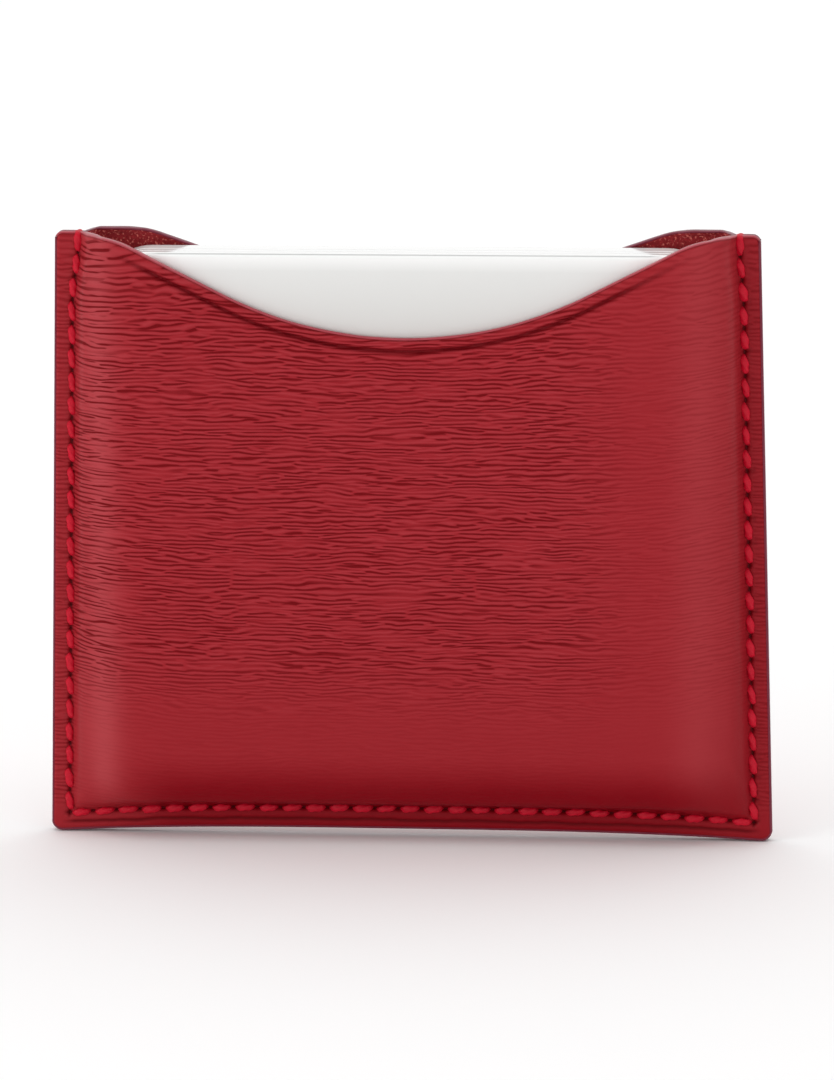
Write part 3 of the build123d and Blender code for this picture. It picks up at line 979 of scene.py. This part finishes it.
def area_light(name, place, target, size, power):
    """White soft box aimed at a point, in metres and watts."""
    light = bpy.data.lights.new(name, "AREA")
    light.shape = "RECTANGLE"
    light.size, light.size_y = size
    light.energy = power
    obj = bpy.data.objects.new(name, light)
    obj.location = place
    aim = np.array(target, float) - np.array(place, float)
    obj.rotation_euler = Vector(aim).to_track_quat("-Z", "Y").to_euler()
    bpy.context.scene.collection.objects.link(obj)


def world():
    """Even surrounding light, with a white band round the horizon."""
    made = bpy.data.worlds.new("studio")
    made.use_nodes = True
    tree = made.node_tree
    _, _, height = split(tree, add(tree, "ShaderNodeTexCoord", out="Generated"))
    band = ramp(tree, calc(tree, "ABSOLUTE", height), 0.12, 0.24, 1.0, 0.0)
    colour = blend_colours(tree, band, (ROOM_LEVEL,) * 3 + (1,), (HORIZON_LEVEL,) * 3 + (1,))
    feed(tree, tree.nodes["Background"], {"Color": colour, "Strength": 1.0})
    bpy.context.scene.world = made


def floor():
    """Wide pale floor under the sleeve's corners."""
    half = FLOOR_SIZE / 2 / MM
    points = [(-half, -half, 0), (half, -half, 0), (half, half, 0), (-half, half, 0)]
    obj = make_object("floor", points, [[0, 1, 2, 3]], [floor_material()], smooth=False)


def camera():
    """Long lens a little above the mouth and a little to the right."""
    low, high = CAD_BOX
    target = Vector([(a + b) / 2 for a, b in zip(low, high)]) + Vector(CAMERA_OFFSET)
    azimuth, elevation = math.radians(CAMERA_AZIMUTH), math.radians(CAMERA_ELEVATION)
    away = Vector((math.sin(azimuth) * math.cos(elevation), -math.cos(azimuth) * math.cos(elevation),
                   math.sin(elevation)))
    data = bpy.data.cameras.new("camera")
    data.lens = CAMERA_LENS
    data.sensor_width = 36.0
    data.clip_start, data.clip_end = 0.01, 100.0
    obj = bpy.data.objects.new("camera", data)
    obj.location = target + away * CAMERA_DISTANCE
    obj.rotation_mode = "QUATERNION"
    roll = Quaternion((0, 0, 1), math.radians(CAMERA_ROLL))
    obj.rotation_quaternion = (-away).to_track_quat("-Z", "Y") @ roll
    bpy.context.scene.collection.objects.link(obj)
    bpy.context.scene.camera = obj


# ---------------------------------------------------------------- assembly

def dress():
    """Every piece of the sleeve and the case."""
    leather, suede = leather_material(), suede_material()
    side_paint = paint_material("wine_edge_paint", *SIDE_PAINT)
    lit_rim_paint = paint_material("red_rim_paint_lit", *RIM_PAINT_LIT)
    for name, side, mouth, seed in (("front", -1, FRONT_MOUTH, 5), ("back", 1, BACK_MOUTH, 60)):
        outer, inner = panel(name + "_panel", side, mouth, seed, leather, suede)
        # The front mouth edge gets the lighter copy of the edge paint, a painted highlight.
        mouth_edge(name + "_mouth_edge_coat", side, outer, inner, lit_rim_paint if side < 0 else side_paint)
    side_edge(side_paint)
    thread = thread_material()
    for name, row in seam_rows().items():
        slant = BOTTOM_SLANT if name == "bottom" else SIDE_SLANT
        fat_stitch = 1 if name == "right" else None
        seam_thread(name + "_seam_thread", row, name != "bottom", slant, fat_stitch, thread)
    gloss = case_material()
    for node in ("case_back_shell", "case_middle_frame", "case_front_shell"):
        mesh = frame["nodes"][node].data
        mesh.materials.clear()
        mesh.materials.append(gloss)


dress()
floor()
world()
area_light("key_left", (-0.85, -0.62, 0.28), (0, 0, 0.04), (0.6, 0.55), 2.4)
area_light("overhead", (0.0, 0.60, 1.60), (0, 0.2, 0), (3.2, 3.2), 30)
area_light("fill_right", (0.38, -0.98, 0.26), (0, 0, 0.04), (0.35, 0.5), 0.45)
camera()
bpy.context.scene.view_settings.view_transform = "Standard"
